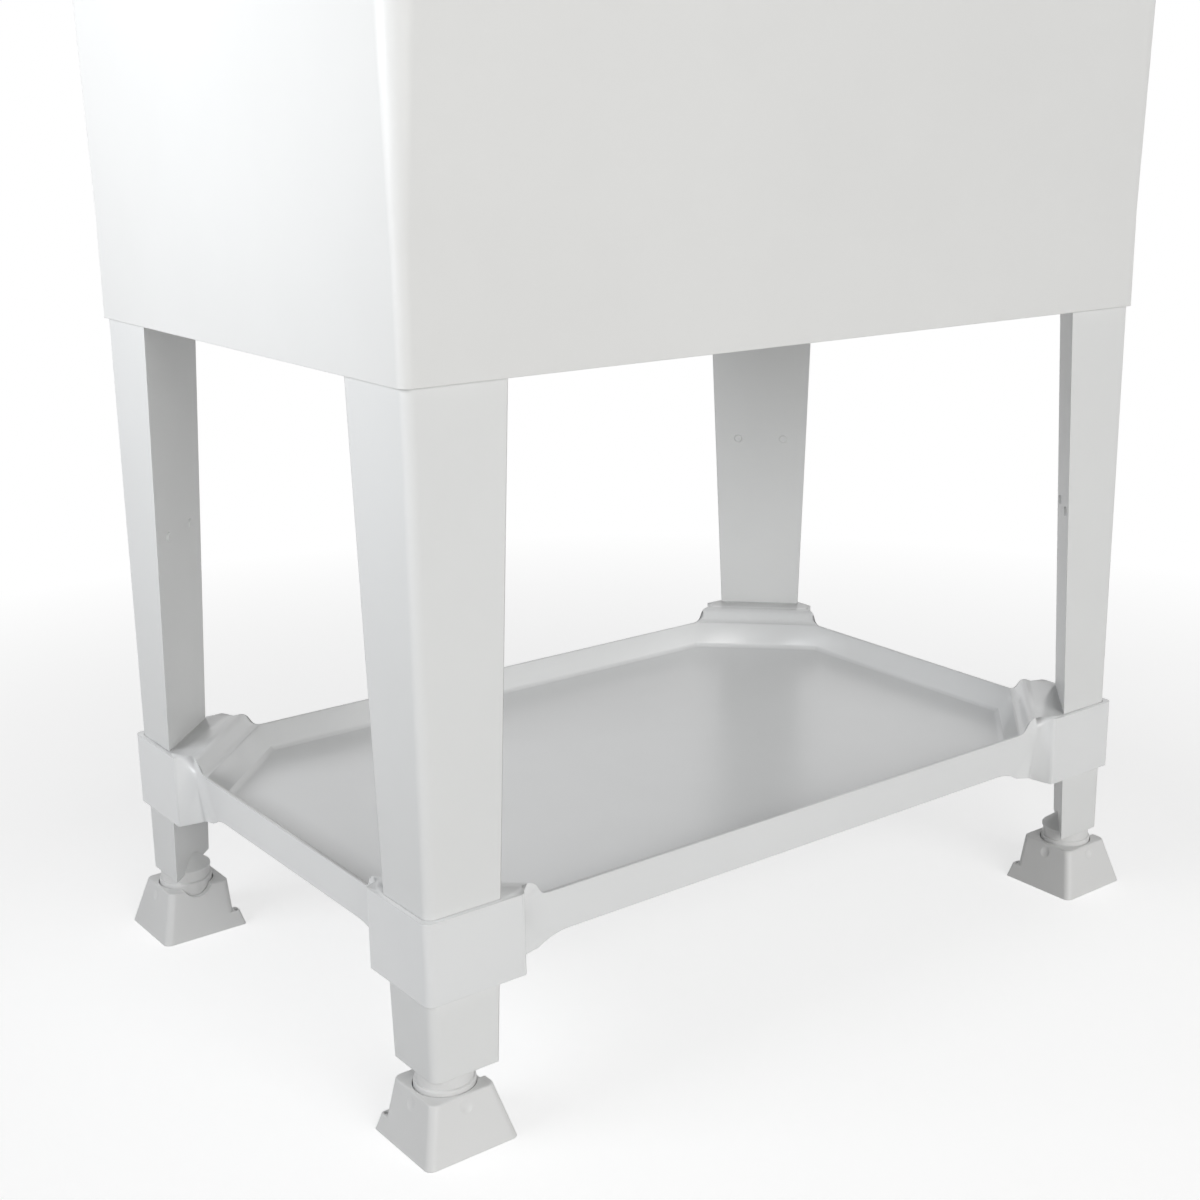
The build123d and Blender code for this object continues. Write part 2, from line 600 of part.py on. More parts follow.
def pad_dent():
    """Tool for the shallow dent near the top of a tapered face, here on the -X side."""
    height = PAD_HEIGHT - PAD_DENT_DROP
    radius = sagitta_radius(PAD_DENT_WIDTH, PAD_DENT)
    face = Pos(-PAD_BASE / 2, 0, 0) * Rot(0, pad_lean(), 0)
    return face * Pos(PAD_DENT - radius, 0, height) * Rot(0, 0, 180) * Sphere(radius)


def foot_pad(corner):
    """Square tapered pad with a swivel socket, two lugs, two dents and a scooped edge."""
    sign_x, sign_y = corner
    roof = PAD_HEIGHT - PAD_SOCKET_DEPTH - PAD_WALL
    body = pad_block(0, PAD_HEIGHT)
    body = fillet(body.edges().group_by(Axis.Z)[-1], PAD_EDGE)
    body += pad_lug()
    body += mirror(pad_lug(), about=Plane.YZ)
    body -= pad_block(PAD_WALL, roof)
    body -= upright(Circle(PAD_SOCKET / 2), PAD_HEIGHT - PAD_SOCKET_DEPTH, PAD_HEIGHT)
    body -= upright(Circle(PIN_DIAMETER / 2 + SWIVEL_FIT), roof, PAD_HEIGHT - PAD_SOCKET_DEPTH)
    for turn in (0, 90):
        body -= Rot(0, 0, turn) * pad_dent()
    scoop_radius = sagitta_radius(PAD_SCOOP_WIDTH, PAD_SCOOP_DEPTH)
    scoop = Pos(PAD_TOP / 2, 0, PAD_HEIGHT - PAD_SCOOP_DEPTH + scoop_radius)
    body -= scoop * Rot(0, 90, 0) * Cylinder(scoop_radius, PAD_TOP / 2)
    # All four are one piece; the back ones stand a quarter turn round.
    turn = 0 if sign_y < 0 else -90
    return Pos(sign_x * FOOT_X, sign_y * FOOT_Y, 0) * Rot(0, 0, turn) * body


def levelling_collar(corner):
    """Turning collar: a base that swivels in the pad, a ring, and a neck that meets the leg."""
    sign_x, sign_y = corner
    base_low = PAD_HEIGHT - PAD_SOCKET_DEPTH + SWIVEL_FIT
    ring_top = PAD_HEIGHT + COLLAR_RING
    body = upright(Circle(COLLAR_DIAMETER / 2), base_low, ring_top)
    body = chamfer(body.edges().group_by(Axis.Z)[-1], COLLAR_EDGE)
    body += upright(Circle(NECK_DIAMETER / 2), ring_top, LEG_BOTTOM)
    roof_under = PAD_HEIGHT - PAD_SOCKET_DEPTH - PAD_WALL
    body += upright(Circle(PIN_DIAMETER / 2), roof_under - PIN_CATCH, base_low)
    catch = Cone(PIN_DIAMETER / 2 - PIN_CATCH / 2, PIN_DIAMETER / 2 + PIN_CATCH, 2 * PIN_CATCH)
    body += Pos(0, 0, roof_under - SWIVEL_FIT - PIN_CATCH) * catch
    stud_hole = upright(Circle(STUD_DIAMETER / 2), PAD_HEIGHT, LEG_BOTTOM)
    return Pos(sign_x * FOOT_X, sign_y * FOOT_Y, 0) * (body - stud_hole)


def levelling_stud(corner):
    """Threaded stud moulded into the collar."""
    sign_x, sign_y = corner
    body = upright(Circle(STUD_DIAMETER / 2), PAD_HEIGHT, LEG_BOTTOM + STUD_LENGTH)
    body = chamfer(body.edges().group_by(Axis.Z)[-1], STUD_DIAMETER / 8)
    return Pos(sign_x * FOOT_X, sign_y * FOOT_Y, 0) * body


def leg_bush(corner):
    """Threaded bush pressed into the leg's end."""
    sign_x, sign_y = corner
    body = ring(BUSH_DIAMETER, STUD_DIAMETER + 2 * STUD_FIT, LEG_BOTTOM, LEG_BOTTOM + BUSH_LENGTH)
    return Pos(sign_x * FOOT_X, sign_y * FOOT_Y, 0) * body


# Drain


def drain_body():
    """Flanged strainer: a barrel through the basin floor with a grid at its foot."""
    barrel_low = DISH_FLOOR - DRAIN_LENGTH
    flange = upright(Circle(DRAIN_FLANGE / 2), DISH_FLOOR, DISH_FLOOR + DRAIN_FLANGE_THICKNESS)
    flange = fillet(flange.edges().group_by(Axis.Z)[-1], DRAIN_FLANGE_THICKNESS / 2)
    body = flange + upright(Circle(DRAIN_THREAD / 2), barrel_low, DISH_FLOOR)
    body -= upright(Circle(DRAIN_BORE / 2), barrel_low, DISH_FLOOR + DRAIN_FLANGE_THICKNESS)
    lip = body.edges().filter_by(GeomType.CIRCLE).group_by(Axis.Z)[-1].sort_by(SortBy.RADIUS)[0]
    body = chamfer(lip, DRAIN_FLANGE_THICKNESS / 2)
    bars = Sketch()
    count = int(DRAIN_BORE / 2 // GRID_SPACING)
    for step in range(-count, count + 1):
        bars += Pos(step * GRID_SPACING, 0) * Rectangle(GRID_BAR, DRAIN_THREAD)
        bars += Pos(0, step * GRID_SPACING) * Rectangle(DRAIN_THREAD, GRID_BAR)
    grid = upright(bars & Circle((DRAIN_THREAD + DRAIN_BORE) / 4), barrel_low, barrel_low + GRID_BAR)
    return Pos(0, DRAIN_Y, 0) * (body + grid)


def drain_gasket():
    return Pos(0, DRAIN_Y, 0) * ring(
        GASKET_DIAMETER, DRAIN_THREAD + 2 * NUT_FIT, BAND_TOP - GASKET_THICKNESS, BAND_TOP
    )


def friction_ring():
    top = BAND_TOP - GASKET_THICKNESS
    low = top - FRICTION_THICKNESS
    return Pos(0, DRAIN_Y, 0) * ring(GASKET_DIAMETER, DRAIN_THREAD + 2 * NUT_FIT, low, top)


def drain_locknut():
    """Lugged nut that clamps the strainer to the basin floor."""
    top = BAND_TOP - GASKET_THICKNESS - FRICTION_THICKNESS
    outline = Circle(DRAIN_THREAD / 2 + (LOCKNUT_DIAMETER - DRAIN_THREAD) / 3)
    for step in range(LOCKNUT_LUG_COUNT):
        turn = Rot(0, 0, step * 360 / LOCKNUT_LUG_COUNT)
        outline += turn * Pos(LOCKNUT_DIAMETER / 4, 0) * Rectangle(LOCKNUT_DIAMETER / 2, LOCKNUT_HEIGHT)
    outline -= Circle(DRAIN_THREAD / 2 + NUT_FIT)
    body = upright(outline, top - LOCKNUT_HEIGHT, top)
    body += ring(LOCKNUT_DIAMETER, DRAIN_THREAD + 2 * NUT_FIT, top - GRID_BAR, top)
    return Pos(0, DRAIN_Y, 0) * body


def tail_top():
    return DISH_FLOOR - DRAIN_LENGTH - TAIL_WASHER


def tail_washer():
    bore = TAIL_DIAMETER - 2 * TAIL_WALL
    return Pos(0, DRAIN_Y, 0) * ring(DRAIN_THREAD, bore, tail_top(), tail_top() + TAIL_WASHER)


def drain_tailpiece():
    """Flanged tube that hangs from the strainer, a little thinner under its flange."""
    bore = TAIL_DIAMETER - 2 * TAIL_WALL
    flange_low = tail_top() - TAIL_FLANGE
    body = ring(TAIL_DIAMETER, bore, TAIL_BOTTOM, flange_low - TAIL_NECK)
    body += ring(TAIL_DIAMETER - 2 * TAIL_NECK_DEPTH, bore, flange_low - TAIL_NECK, flange_low)
    body += ring(DRAIN_THREAD, bore, flange_low, tail_top())
    return Pos(0, DRAIN_Y, 0) * body


def slip_nut():
    """Nut that holds the tailpiece's flange up to the strainer."""
    low = tail_top() - TAIL_FLANGE - GRID_BAR
    top = low + SLIP_NUT_HEIGHT
    outline = RegularPolygon(SLIP_NUT_DIAMETER / 2, SLIP_NUT_SIDE_COUNT)
    body = upright(outline, low, top)
    body = chamfer(body.edges().group_by(Axis.Z)[-1], GRID_BAR / 2)
    body -= upright(Circle(DRAIN_THREAD / 2 + NUT_FIT), low + GRID_BAR, top)
    body -= upright(Circle(TAIL_DIAMETER / 2 + NUT_FIT), low, low + GRID_BAR)
    return Pos(0, DRAIN_Y, 0) * body


def drain_stopper():
    """Rubber stopper that rests in the strainer's mouth, with a ring to lift it by."""
    seat = DISH_FLOOR + DRAIN_FLANGE_THICKNESS
    body = upright(Circle(STOPPER_DIAMETER / 2), seat - STOPPER_HEIGHT / 2, seat)
    body += upright(Circle(STOPPER_DIAMETER / 2 + GRID_BAR), seat, seat + STOPPER_HEIGHT / 2)
    body = fillet(body.edges().group_by(Axis.Z)[-1], STOPPER_HEIGHT / 4)
    handle = Pos(0, 0, seat + STOPPER_HEIGHT / 2) * Rot(90, 0, 0) * Torus(STOPPER_RING, GRID_BAR / 2)
    above = upright(Circle(STOPPER_DIAMETER / 2), seat + GRID_BAR, seat + 2 * STOPPER_DIAMETER)
    return Pos(0, DRAIN_Y, 0) * (body + (handle & above))


def screw_group(places):
    solids = []
    for corner in CORNERS.values():
        solids += corner_screws(corner, places, 0).solids()
    return Compound(solids)


def build_nodes():
    nodes = {
        "tub": tub(),
        "shelf_tray": shelf_tray(),
        "drain_body": drain_body(),
        "drain_gasket": drain_gasket(),
        "friction_ring": friction_ring(),
        "drain_locknut": drain_locknut(),
        "tail_washer": tail_washer(),
        "drain_tailpiece": drain_tailpiece(),
        "slip_nut": slip_nut(),
        "drain_stopper": drain_stopper(),
        "leg_screws": screw_group(POCKET_SCREWS),
        "shelf_screws": screw_group(SHELF_SCREWS),
    }
    for name, corner in CORNERS.items():
        nodes["leg_" + name] = leg(corner)
        nodes["leg_bush_" + name] = leg_bush(corner)
        nodes["levelling_collar_" + name] = levelling_collar(corner)
        nodes["levelling_stud_" + name] = levelling_stud(corner)
        nodes["foot_pad_" + name] = foot_pad(corner)
    return nodes


os.makedirs("parts", exist_ok=True)
for node_name, shape in build_nodes().items():
    export_step(shape, os.path.join("parts", node_name + ".step"))
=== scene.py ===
"""Utility laundry sink: surface finishes, its whole tray, threaded pieces and a plain studio."""

import math

import bmesh
import bpy
from mathutils import Matrix, Vector


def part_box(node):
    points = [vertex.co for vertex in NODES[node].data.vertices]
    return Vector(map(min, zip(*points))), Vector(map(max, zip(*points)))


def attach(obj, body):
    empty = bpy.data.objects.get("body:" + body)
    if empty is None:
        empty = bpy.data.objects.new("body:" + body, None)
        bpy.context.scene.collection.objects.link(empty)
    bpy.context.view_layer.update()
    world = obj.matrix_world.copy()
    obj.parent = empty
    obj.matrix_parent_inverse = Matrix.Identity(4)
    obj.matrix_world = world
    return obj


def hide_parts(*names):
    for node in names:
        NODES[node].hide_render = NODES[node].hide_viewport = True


bl_info = {
    "name": "Utility Laundry Sink",
    "version": (1, 0, 0),
    "blender": (4, 5, 0),
    "location": "3D View > Sidebar > Laundry Sink",
    "description": "Finishes the moulded sink, its tray, feet and drain, and sets up its studio",
    "category": "Object",
}

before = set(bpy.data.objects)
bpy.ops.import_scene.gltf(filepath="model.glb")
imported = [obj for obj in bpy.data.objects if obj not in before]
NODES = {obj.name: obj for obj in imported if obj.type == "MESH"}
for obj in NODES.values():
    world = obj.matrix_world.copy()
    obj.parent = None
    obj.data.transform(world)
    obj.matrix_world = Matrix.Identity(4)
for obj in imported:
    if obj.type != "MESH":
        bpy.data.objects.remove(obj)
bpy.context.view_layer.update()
CORNERS = ("front_left", "front_right", "back_left", "back_right")

# How rough each plastic is
TUB_ROUGHNESS = 0.40
TRAY_ROUGHNESS = 0.33
LEG_ROUGHNESS = 0.44
FOOT_ROUGHNESS = 0.46
DRAIN_ROUGHNESS = 0.48
BUSH_ROUGHNESS = 0.50
TRAY_COAT = 0.7  # share of the tray's glossier skin
COAT_ROUGHNESS = 0.25
PLASTIC_IOR = 1.49
EDGE_POLISH = 0.08  # how much smoother the edges are

# How rough each metal is, and the size of its grain
ZINC_ROUGHNESS = 0.30
STUD_GRAIN = 0.0007
SCREW_GRAIN = 0.0005
STRAINER_ROUGHNESS = 0.18
STRAINER_GRAIN = 0.0006
METAL_EDGE = 0.0003
METAL_PATCH = 0.012
METAL_GRAIN_HEIGHT = 0.000006

# Rubber
RUBBER_EDGE = 0.0005
BLOOM_AND_EDGE_HIGHLIGHT_COLOUR = (0.16, 0.16, 0.165, 1.0)
BLOOM_SIZE = 0.009
RUBBER_GRAIN = 0.0006
RUBBER_GRAIN_HEIGHT = 0.00002

# Where most of a noise texture's values lie
NOISE_SPAN = (0.3, 0.7)
CLOUD_SPAN = (0.35, 0.65)
PATCH_SPAN = (0.35, 0.7)
BLOOM_SPAN = (0.45, 0.8)

# Meshes
WELD = 1e-6  # corners this close are one
CUT_SLACK = 1e-7
SMOOTH_ANGLE = math.radians(35)
ROD_SIDES = 28
SCREW_SIDES = 20
HEAD_SIDES = 32
BARREL_SIDES = 56
RING_SIDES = 64
# One turn of a thread: shares of its pitch at which it rises from its root, meets and leaves its crest
# and comes back to its root
RISE_START, CREST_START, CREST_END, FALL_END = 0.14, 0.44, 0.58, 0.88

# A pan head's side view: shares of its radius and of its height from its outer face
PAN_HEAD = ((0.0, 0.0), (0.45, 0.02), (0.75, 0.12), (0.93, 0.38), (1.0, 0.72), (1.0, 1.0), (0.0, 1.0))
RECESS_LENGTH, RECESS_WIDTH, RECESS_DEPTH = 1.15, 0.24, 1.2  # shares of the head's radius and height

# Studio
WHITE = (1.0, 1.0, 1.0, 1.0)
LEFT_LAMP = {
    "place": (-1.25, 0.12, 0.84),
    "target": (-0.33, 0.06, 0.82),
    "size": (0.7, 0.5),
    "power": 4.25,
    "colour": (0.955, 0.975, 1.0),
    "reach": 120,
}
FRONT_LAMP = {
    "place": (-0.4, -3.1, 1.3),
    "target": (0.0, 0.0, 0.45),
    "size": (2.2, 1.8),
    "power": 50.0,
    "colour": (1.0, 0.998, 0.985),
}
SENSOR_WIDTH = 36.0
FLOOR_HALF_SIZE = 9.0
FLOOR_TINT_SIZE = 0.4
FLOOR_TINT = 0.985
FLOOR_SHADE = 0.6  # share of the floor's colour that shows its shadow
FLOOR_LIFT = 0.66  # plain white added to the floor that the camera sees
FLOOR_FADE = (0.55, 1.3)  # distances from the middle between which the floor turns plain white


def colour_property(name, description, default):
    return bpy.props.FloatVectorProperty(
        name=name, description=description, subtype="COLOR", size=3, min=0, max=1, default=default
    )


def length_property(name, description, default):
    return bpy.props.FloatProperty(
        name=name, description=description, unit="LENGTH", min=0, precision=5, default=default
    )


def share_property(name, description, default):
    return bpy.props.FloatProperty(
        name=name, description=description, subtype="FACTOR", min=0, max=1, default=default
    )


# Settings


class SinkPlasticSettings(bpy.types.PropertyGroup):
    """Colours and skin of the moulded pieces."""

    tub_colour: colour_property("Tub", "Colour of the tub", (0.86, 0.86, 0.85))
    # Partly the tray's own white, partly painted light: set lighter and cooler than the tub to stand in for
    # light reaching the tray floor under the tub
    tray_colour_with_painted_light: colour_property("Tray", "Colour of the shelf tray", (0.875, 0.882, 0.884))
    leg_colour: colour_property("Legs", "Colour of the legs", (0.855, 0.86, 0.855))
    foot_colour: colour_property("Feet", "Colour of the foot pads and collars", (0.84, 0.84, 0.835))
    fitting_colour: colour_property("Bushes", "Colour of the bushes in the legs' ends", (0.70, 0.70, 0.68))
    drain_colour: colour_property("Drain", "Colour of the drain's plastic pieces", (0.74, 0.74, 0.72))
    # Colour the edges are lightened to: a painted highlight along the edges
    edge_highlight_colour: colour_property("Edges", "Colour that rubbed edges fade to", (0.91, 0.91, 0.905))
    grain_size: length_property("Grain", "Spacing of the fine moulded grain", 0.0009)
    grain_height: length_property("Grain height", "Height of the fine moulded grain", 0.000012)
    wave_size: length_property("Waves", "Spacing of the slight waves in the flat walls", 0.09)
    wave_height: length_property("Wave height", "Height of the slight waves in the flat walls", 0.00006)
    cloud_size: length_property("Clouds", "Spacing of the faint clouding in the colour", 0.14)
    cloud_depth: share_property("Clouding", "Share of the colour that the clouding takes away", 0.02)
    mark_size: length_property("Marks", "Spacing of handling marks in the gloss", 0.035)
    mark_depth: share_property("Mark strength", "How much handling marks change the gloss", 0.015)
    edge_radius: length_property("Edge radius", "Radius of the moulded edges", 0.0009)
    # How strongly the painted edge highlight lightens the edges
    edge_highlight_strength: share_property("Edge wear", "How far the edges fade", 0.35)


class SinkMetalSettings(bpy.types.PropertyGroup):
    """Colours of the metal and rubber pieces."""

    strainer_colour: colour_property("Strainer", "Colour of the strainer's steel", (0.62, 0.61, 0.59))
    zinc_colour: colour_property("Zinc", "Colour of plated screws and studs", (0.58, 0.59, 0.60))
    rubber_colour: colour_property("Rubber", "Colour of the stopper and seals", (0.035, 0.035, 0.037))
    stud_pitch: length_property("Stud pitch", "Pitch of the levelling studs' thread", 0.00125)
    stud_depth: length_property("Stud thread depth", "Depth of the levelling studs' thread", 0.0007)
    screw_pitch: length_property("Screw pitch", "Pitch of the screws' thread", 0.0014)
    screw_radius: length_property("Screw radius", "Radius over the screws' thread", 0.002)
    screw_head_height: length_property("Screw head", "Height of the screws' heads", 0.0026)
    barrel_radius: length_property("Barrel radius", "Radius over the strainer's thread", 0.024)
    barrel_bore: length_property("Barrel bore", "Radius of the strainer's bore", 0.021)
    flange_thickness: length_property("Flange", "Thickness of the strainer's flange", 0.0025)
    grid_bar: length_property("Grid bars", "Width of the strainer's grid bars", 0.0024)
    grid_spacing: length_property("Grid spacing", "Spacing of the strainer's grid bars", 0.008)
    barrel_pitch: length_property("Barrel pitch", "Pitch of the strainer's thread", 0.0022)
    barrel_depth: length_property("Barrel thread depth", "Depth of the strainer's thread", 0.0007)


class SinkStudioSettings(bpy.types.PropertyGroup):
    """Camera, lamps and floor."""

    camera_place: bpy.props.FloatVectorProperty(
        name="Camera place", description="Where the camera stands", subtype="TRANSLATION", size=3,
        default=(-0.84164, -1.10973, 0.65867),
    )
    camera_turn: bpy.props.FloatProperty(
        name="Turn", description="Camera's turn from the front towards the left end", subtype="ANGLE",
        default=math.radians(39.438),
    )
    camera_tilt: bpy.props.FloatProperty(
        name="Tilt", description="Camera's tilt below the horizon", subtype="ANGLE",
        default=math.radians(15.011),
    )
    camera_roll: bpy.props.FloatProperty(
        name="Roll", description="Camera's roll", subtype="ANGLE", default=math.radians(0.031)
    )
    lens: bpy.props.FloatProperty(name="Lens", description="Focal length in millimetres", default=53.72)
    shift_x: bpy.props.FloatProperty(name="Shift across", description="Lens shift across", default=-0.0859)
    shift_y: bpy.props.FloatProperty(name="Shift up", description="Lens shift up", default=-0.0230)
    floor_colour: colour_property("Floor", "Colour of the floor", (0.88, 0.88, 0.88))
    ambient: share_property("Ambient", "Strength of the room's even light", 0.20)


# Materials


def add_node(tree, kind, inputs=None, **settings):
    """Add a shader node, with its settings and with values or links for its sockets."""
    node = tree.nodes.new(kind)
    for key, value in settings.items():
        setattr(node, key, value)
    for socket, value in (inputs or {}).items():
        if isinstance(value, bpy.types.NodeSocket):
            tree.links.new(value, node.inputs[socket])
        else:
            node.inputs[socket].default_value = value
    return node


def new_surface(name):
    """An empty material with its principled shader."""
    material = bpy.data.materials.new(name)
    material.use_nodes = True
    tree = material.node_tree
    tree.nodes.clear()
    shader = add_node(tree, "ShaderNodeBsdfPrincipled")
    add_node(tree, "ShaderNodeOutputMaterial", {"Surface": shader.outputs["BSDF"]})
    return material, tree, shader


def object_place(tree):
    return add_node(tree, "ShaderNodeTexCoord").outputs["Object"]


def noise(tree, place, size, detail=2.0, roughness=0.5):
    """Noise from 0 to 1 whose largest patches are about as wide as the size."""
    sockets = {"Vector": place, "Scale": 1 / size, "Detail": detail, "Roughness": roughness}
    return add_node(tree, "ShaderNodeTexNoise", sockets).outputs[0]


def spread(tree, value, low, high, to_low, to_high):
    """A value stretched from one span to another."""
    sockets = {"Value": value, "From Min": low, "From Max": high, "To Min": to_low, "To Max": to_high}
    return add_node(tree, "ShaderNodeMapRange", sockets).outputs["Result"]


def calculate(tree, operation, first, second):
    return add_node(tree, "ShaderNodeMath", {0: first, 1: second}, operation=operation).outputs[0]


def blend_colours(tree, share, first, second):
    node = add_node(tree, "ShaderNodeMix", data_type="RGBA")
    for index, value in ((0, share), (6, first), (7, second)):
        if isinstance(value, bpy.types.NodeSocket):
            tree.links.new(value, node.inputs[index])
        else:
            node.inputs[index].default_value = value
    return node.outputs[2]


def opaque(colour, level=1.0):
    return (colour[0] * level, colour[1] * level, colour[2] * level, 1.0)


def bump(tree, height, distance, normal):
    sockets = {"Height": height, "Distance": distance, "Strength": 1.0, "Normal": normal}
    return add_node(tree, "ShaderNodeBump", sockets).outputs["Normal"]


def edge_softening(tree, radius):
    """Normal that rounds sharp edges, and a mask that is 1 on them."""
    rounded = add_node(tree, "ShaderNodeBevel", {"Radius": radius}, samples=6).outputs["Normal"]
    true_normal = add_node(tree, "ShaderNodeNewGeometry").outputs["Normal"]
    likeness = add_node(
        tree, "ShaderNodeVectorMath", {0: rounded, 1: true_normal}, operation="DOT_PRODUCT"
    ).outputs["Value"]
    return rounded, spread(tree, likeness, 0.995, 0.90, 0.0, 1.0)


def moulded_plastic(name, colour, roughness, settings, coat=0.0):
    """Moulded plastic: faint clouding, handling marks in the gloss, a fine grain, and edges lightened in
    colour as a painted highlight.
    """
    material, tree, shader = new_surface(name)
    place = object_place(tree)
    rounded, edges = edge_softening(tree, settings.edge_radius)
    cloud = noise(tree, place, settings.cloud_size, 3)
    body = blend_colours(
        tree,
        spread(tree, cloud, *CLOUD_SPAN, 0.0, 1.0),
        opaque(colour),
        opaque(colour, 1 - settings.cloud_depth),
    )
    # Edges blend towards a lighter colour: a painted highlight
    painted_edge_highlight = calculate(tree, "MULTIPLY", edges, settings.edge_highlight_strength)
    tree.links.new(blend_colours(tree, painted_edge_highlight, body, opaque(settings.edge_highlight_colour)), shader.inputs["Base Color"])
    marks = noise(tree, place, settings.mark_size, 6, 0.62)
    depth = settings.mark_depth
    marked = spread(tree, marks, *NOISE_SPAN, roughness - depth, roughness + depth)
    polish = calculate(tree, "MULTIPLY", edges, EDGE_POLISH)
    tree.links.new(calculate(tree, "SUBTRACT", marked, polish), shader.inputs["Roughness"])
    wavy = bump(tree, noise(tree, place, settings.wave_size, 1), settings.wave_height, rounded)
    skin = bump(tree, noise(tree, place, settings.grain_size, 2), settings.grain_height, wavy)
    tree.links.new(skin, shader.inputs["Normal"])
    shader.inputs["IOR"].default_value = PLASTIC_IOR
    shader.inputs["Coat Weight"].default_value = coat
    shader.inputs["Coat Roughness"].default_value = COAT_ROUGHNESS
    return material


def patchy_metal_painted_edges(name, colour, roughness, grain_size):
    """Metal with a fine grain, patches of duller surface, and edges brightened in colour as a painted
    highlight.
    """
    material, tree, shader = new_surface(name)
    place = object_place(tree)
    rounded, edges = edge_softening(tree, METAL_EDGE)
    fine = noise(tree, place, grain_size, 3)
    patches = noise(tree, place, METAL_PATCH, 5, 0.6)
    dulled = spread(tree, patches, *PATCH_SPAN, 0.0, 1.0)
    body = blend_colours(tree, dulled, opaque(colour), opaque(colour, 0.82))
    # Edges are brightened in colour: a painted highlight
    painted_edge_glint = blend_colours(tree, calculate(tree, "MULTIPLY", edges, 0.5), body, opaque(colour, 1.25))
    tree.links.new(painted_edge_glint, shader.inputs["Base Color"])
    grained = spread(tree, fine, *NOISE_SPAN, -0.06, 0.06)
    patched = spread(tree, patches, *NOISE_SPAN, roughness, roughness + 0.12)
    tree.links.new(calculate(tree, "ADD", grained, patched), shader.inputs["Roughness"])
    skin = bump(tree, fine, METAL_GRAIN_HEIGHT, rounded)
    tree.links.new(skin, shader.inputs["Normal"])
    shader.inputs["Metallic"].default_value = 1.0
    return material


def seal_rubber(name, colour):
    """Dull rubber with a chalky bloom, edges lightened in colour as a painted highlight, and a fine skin."""
    material, tree, shader = new_surface(name)
    place = object_place(tree)
    rounded, edges = edge_softening(tree, RUBBER_EDGE)
    bloom = noise(tree, place, BLOOM_SIZE, 5, 0.65)
    chalk = spread(tree, bloom, *BLOOM_SPAN, 0.0, 0.35)
    # Random chalky bloom, plus edges lightened as a painted highlight
    bloom_and_painted_edge_highlight = calculate(tree, "ADD", chalk, calculate(tree, "MULTIPLY", edges, 0.25))
    tree.links.new(blend_colours(tree, bloom_and_painted_edge_highlight, opaque(colour), BLOOM_AND_EDGE_HIGHLIGHT_COLOUR), shader.inputs["Base Color"])
    tree.links.new(spread(tree, bloom, *NOISE_SPAN, 0.5, 0.68), shader.inputs["Roughness"])
    skin = bump(tree, noise(tree, place, RUBBER_GRAIN, 3), RUBBER_GRAIN_HEIGHT, rounded)
    tree.links.new(skin, shader.inputs["Normal"])
    return material


def dress(node_name, material):
    """Give a carried-over solid its material."""
    mesh = NODES[node_name].data
    mesh.materials.clear()
    mesh.materials.append(material)


# Pieces that stand for plainer solids


def new_piece(name, shape, material, slot, body, *nodes):
    """Make the finished mesh a piece that rides on a body and stands for its solids."""
    mesh = bpy.data.meshes.new(name)
    bmesh.ops.recalc_face_normals(shape, faces=shape.faces)
    shape.to_mesh(mesh)
    shape.free()
    mesh.materials.append(material)
    piece = bpy.data.objects.new(name, mesh)
    bpy.context.scene.collection.objects.link(piece)
    mesh.shade_smooth()
    mesh.set_sharp_from_angle(angle=SMOOTH_ANGLE)
    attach(piece, body)
    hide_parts(*nodes)
    return piece


def cut_away(shape, place, outwards):
    """Cut a shape off at a plane and leave it open there."""
    geometry = shape.verts[:] + shape.edges[:] + shape.faces[:]
    bmesh.ops.bisect_plane(
        shape, geom=geometry, dist=CUT_SLACK, plane_co=place, plane_no=outwards, clear_outer=True
    )


def cut_flat(shape, height, outwards):
    """Cut a shape off at a height and close it there."""
    cut_away(shape, (0, 0, height), (0, 0, outwards))
    rim = [
        edge for edge in shape.edges
        if edge.is_boundary and all(abs(vertex.co.z - height) < WELD for vertex in edge.verts)
    ]
    bmesh.ops.contextual_create(shape, geom=rim)


def weld(shape):
    bmesh.ops.remove_doubles(shape, verts=shape.verts, dist=WELD)


def threaded_rod(radius, depth, pitch, low, high, sides=ROD_SIDES):
    """Closed rod along Z with one helical thread, flat at both ends."""
    shape = bmesh.new()
    turns = math.ceil((high - low) / pitch) + 3
    start = low - 1.5 * pitch
    root = radius - depth
    tooth = (
        (0.0, root), (RISE_START, root), (CREST_START, radius),
        (CREST_END, radius), (FALL_END, root), (1.0, root),
    )
    points = [shape.verts.new((reach, 0, start + share * pitch)) for share, reach in tooth]
    edges = [shape.edges.new(pair) for pair in zip(points, points[1:])]
    bmesh.ops.spin(
        shape, geom=points + edges, cent=(0, 0, 0), axis=(0, 0, 1), dvec=(0, 0, pitch / sides),
        angle=math.tau * turns, steps=sides * turns,
    )
    weld(shape)
    cut_flat(shape, low, -1)
    cut_flat(shape, high, 1)
    return shape


def turned(outline, steps, closed):
    """Shape turned round Z from points of (radius, height)."""
    shape = bmesh.new()
    points = [shape.verts.new((radius, 0, height)) for radius, height in outline]
    nexts = points[1:] + points[:1] if closed else points[1:]
    edges = [shape.edges.new(pair) for pair in zip(points, nexts)]
    bmesh.ops.spin(
        shape, geom=points + edges, cent=(0, 0, 0), axis=(0, 0, 1),
        angle=math.tau, steps=steps, use_merge=True,
    )
    weld(shape)
    return shape


def turned_solid(outline, steps=HEAD_SIDES):
    """Closed solid from an outline that starts and ends on the axis."""
    return turned(outline, steps, closed=False)


def turned_ring(outline, steps=RING_SIDES):
    """Closed ring from an outline that goes round its section."""
    return turned(outline, steps, closed=True)


def join_shapes(target, source, matrix=None):
    """Add a shape to another, moved by a matrix, and free it."""
    mesh = bpy.data.meshes.new("spare")
    source.to_mesh(mesh)
    source.free()
    if matrix is not None:
        mesh.transform(matrix)
    target.from_mesh(mesh)
    bpy.data.meshes.remove(mesh)


